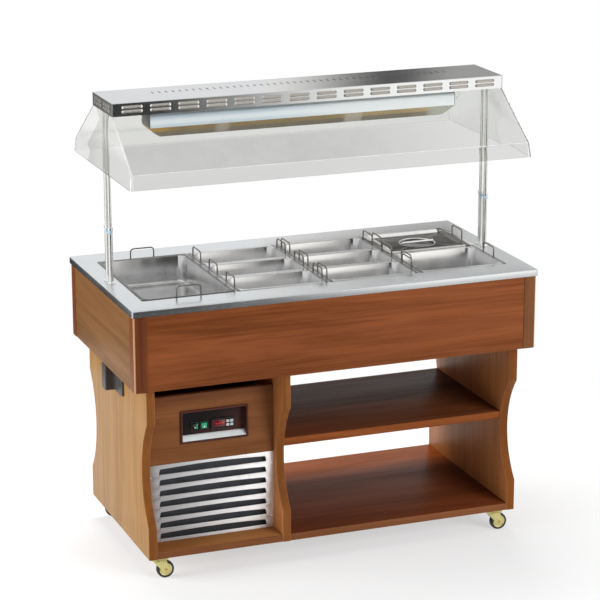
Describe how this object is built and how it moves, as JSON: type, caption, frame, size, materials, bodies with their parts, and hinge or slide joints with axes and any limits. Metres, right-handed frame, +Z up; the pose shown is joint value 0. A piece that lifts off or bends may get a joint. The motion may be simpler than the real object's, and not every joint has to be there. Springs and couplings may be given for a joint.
{
  "type": "bain marie buffet counter",
  "caption": "Wheeled wooden buffet counter with a steel heated well of lift-out food pans, a louvred control bay, open shelves and a heat lamp gantry with a clear hood.",
  "frame": {"origin": "floor under the counter's middle", "axes": "+X along the counter, +Y to its back, +Z up"},
  "size_m": [1.448, 0.75, 1.584],
  "materials": {
    "wood_panel": "glossy cherry laminate",
    "worktop_steel": "satin stainless",
    "pan_steel": "polished stainless",
    "bright_steel": "brushed stainless",
    "clear_sheet": "clear acrylic",
    "lamp_white": "gloss white",
    "reflector_gold": "gold anodised reflector",
    "lamp_glass": "quartz with ceramic ends",
    "dark_plastic": "matt charcoal",
    "bezel_brown": "maroon brown",
    "switch_green": "translucent green",
    "black_gloss": "gloss black",
    "key_grey": "grey keys",
    "zinc": "yellow zinc plated",
    "tyre_black": "black rubber"
  },
  "bodies": {
    "counter": {"left_side_panel": "wood_panel", "right_side_panel": "wood_panel", "partition_panel": "wood_panel", "bottom_boards": "wood_panel", "mid_shelf": "wood_panel", "casing_floor": "wood_panel", "casing_long_panels": "wood_panel", "casing_end_panels": "wood_panel", "corner_posts": "wood_panel", "unit_front_panel": "wood_panel", "unit_back_panel": "wood_panel", "worktop": "worktop_steel", "water_tank": "worktop_steel", "pan_crossbars": "worktop_steel", "heating_element": "bright_steel", "drain_pipe": "bright_steel", "louvre_grille": "bright_steel", "grille_screws": "bright_steel", "control_bezel": "bezel_brown", "switch_frames": "black_gloss", "thermostat": "black_gloss", "control_box": "dark_plastic", "cable_gland": "dark_plastic", "side_bracket": "dark_plastic", "post_outer_tubes": "bright_steel", "caster_plates": "zinc"},
    "gantry": {"gantry_shelf": "bright_steel", "hood": "clear_sheet", "lamp_housing": "lamp_white", "lamp_reflector": "reflector_gold", "heat_lamps": "lamp_glass", "post_inner_tubes": "bright_steel"},
    "fork_front_left": {"caster_fork_front_left": "zinc"},
    "wheel_front_left": {"caster_wheel_front_left": "zinc", "caster_tyre_front_left": "tyre_black"},
    "fork_front_right": {"caster_fork_front_right": "zinc"},
    "wheel_front_right": {"caster_wheel_front_right": "zinc", "caster_tyre_front_right": "tyre_black"},
    "fork_back_left": {"caster_fork_back_left": "zinc"},
    "wheel_back_left": {"caster_wheel_back_left": "zinc", "caster_tyre_back_left": "tyre_black"},
    "fork_back_right": {"caster_fork_back_right": "zinc"},
    "wheel_back_right": {"caster_wheel_back_right": "zinc", "caster_tyre_back_right": "tyre_black"},
    "pan_1_full": {"pan_1_full": "pan_steel"},
    "pan_2_third_front": {"pan_2_third_front": "pan_steel"},
    "pan_2_third_middle": {"pan_2_third_middle": "pan_steel"},
    "pan_2_third_back": {"pan_2_third_back": "pan_steel"},
    "pan_3_third_front": {"pan_3_third_front": "pan_steel"},
    "pan_3_third_middle": {"pan_3_third_middle": "pan_steel"},
    "pan_3_third_back": {"pan_3_third_back": "pan_steel"},
    "pan_4_half_front": {"pan_4_half_front": "pan_steel"},
    "pan_4_half_back": {"pan_4_half_back": "pan_steel"},
    "lid": {"pan_lid": "pan_steel"},
    "main_rocker": {"main_rocker": "switch_green"},
    "lamp_rocker": {"lamp_rocker": "switch_green"},
    "key_set": {"key_set": "key_grey"},
    "key_up": {"key_up": "key_grey"},
    "key_mode": {"key_mode": "key_grey"},
    "key_down": {"key_down": "key_grey"}
  },
  "joints": [
    {"name": "gantry_lift", "type": "slide", "parent": "counter", "child": "gantry", "axis": [0, 0, 1], "range_m": [-0.1, 0.08]},
    {"name": "swivel_front_left", "type": "hinge", "parent": "counter", "child": "fork_front_left", "pos_m": [-0.632, -0.305, 0.07], "axis": [0, 0, 1], "continuous": true},
    {"name": "roll_front_left", "type": "hinge", "parent": "fork_front_left", "child": "wheel_front_left", "pos_m": [-0.607, -0.305, 0.03], "axis": [0, 1, 0], "continuous": true},
    {"name": "swivel_front_right", "type": "hinge", "parent": "counter", "child": "fork_front_right", "pos_m": [0.6, -0.305, 0.07], "axis": [0, 0, 1], "continuous": true},
    {"name": "roll_front_right", "type": "hinge", "parent": "fork_front_right", "child": "wheel_front_right", "pos_m": [0.625, -0.305, 0.03], "axis": [0, 1, 0], "continuous": true},
    {"name": "swivel_back_left", "type": "hinge", "parent": "counter", "child": "fork_back_left", "pos_m": [-0.632, 0.305, 0.07], "axis": [0, 0, 1], "continuous": true},
    {"name": "roll_back_left", "type": "hinge", "parent": "fork_back_left", "child": "wheel_back_left", "pos_m": [-0.607, 0.305, 0.03], "axis": [0, 1, 0], "continuous": true},
    {"name": "swivel_back_right", "type": "hinge", "parent": "counter", "child": "fork_back_right", "pos_m": [0.6, 0.305, 0.07], "axis": [0, 0, 1], "continuous": true},
    {"name": "roll_back_right", "type": "hinge", "parent": "fork_back_right", "child": "wheel_back_right", "pos_m": [0.625, 0.305, 0.03], "axis": [0, 1, 0], "continuous": true},
    {"name": "pan_1_full_lift", "type": "slide", "parent": "counter", "child": "pan_1_full", "axis": [0, 0, 1], "range_m": [0, 0.16]},
    {"name": "pan_2_third_front_lift", "type": "slide", "parent": "counter", "child": "pan_2_third_front", "axis": [0, 0, 1], "range_m": [0, 0.16]},
    {"name": "pan_2_third_middle_lift", "type": "slide", "parent": "counter", "child": "pan_2_third_middle", "axis": [0, 0, 1], "range_m": [0, 0.16]},
    {"name": "pan_2_third_back_lift", "type": "slide", "parent": "counter", "child": "pan_2_third_back", "axis": [0, 0, 1], "range_m": [0, 0.16]},
    {"name": "pan_3_third_front_lift", "type": "slide", "parent": "counter", "child": "pan_3_third_front", "axis": [0, 0, 1], "range_m": [0, 0.16]},
    {"name": "pan_3_third_middle_lift", "type": "slide", "parent": "counter", "child": "pan_3_third_middle", "axis": [0, 0, 1], "range_m": [0, 0.16]},
    {"name": "pan_3_third_back_lift", "type": "slide", "parent": "counter", "child": "pan_3_third_back", "axis": [0, 0, 1], "range_m": [0, 0.16]},
    {"name": "pan_4_half_front_lift", "type": "slide", "parent": "counter", "child": "pan_4_half_front", "axis": [0, 0, 1], "range_m": [0, 0.16]},
    {"name": "pan_4_half_back_lift", "type": "slide", "parent": "counter", "child": "pan_4_half_back", "axis": [0, 0, 1], "range_m": [0, 0.16]},
    {"name": "lid_lift", "type": "slide", "parent": "pan_4_half_back", "child": "lid", "axis": [0, 0, 1], "range_m": [0, 0.12]},
    {"name": "main_rocker_tilt", "type": "hinge", "parent": "counter", "child": "main_rocker", "pos_m": [-0.469, -0.2235, 0.492], "axis": [1, 0, 0], "range_deg": [-16, 0]},
    {"name": "lamp_rocker_tilt", "type": "hinge", "parent": "counter", "child": "lamp_rocker", "pos_m": [-0.4365, -0.2235, 0.492], "axis": [1, 0, 0], "range_deg": [-16, 0]},
    {"name": "key_set_press", "type": "slide", "parent": "counter", "child": "key_set", "axis": [0, 1, 0], "range_m": [0, 0.0008], "stiffness_N_per_m": 1000},
    {"name": "key_up_press", "type": "slide", "parent": "counter", "child": "key_up", "axis": [0, 1, 0], "range_m": [0, 0.0008], "stiffness_N_per_m": 1000},
    {"name": "key_mode_press", "type": "slide", "parent": "counter", "child": "key_mode", "axis": [0, 1, 0], "range_m": [0, 0.0008], "stiffness_N_per_m": 1000},
    {"name": "key_down_press", "type": "slide", "parent": "counter", "child": "key_down", "axis": [0, 1, 0], "range_m": [0, 0.0008], "stiffness_N_per_m": 1000}
  ]
}
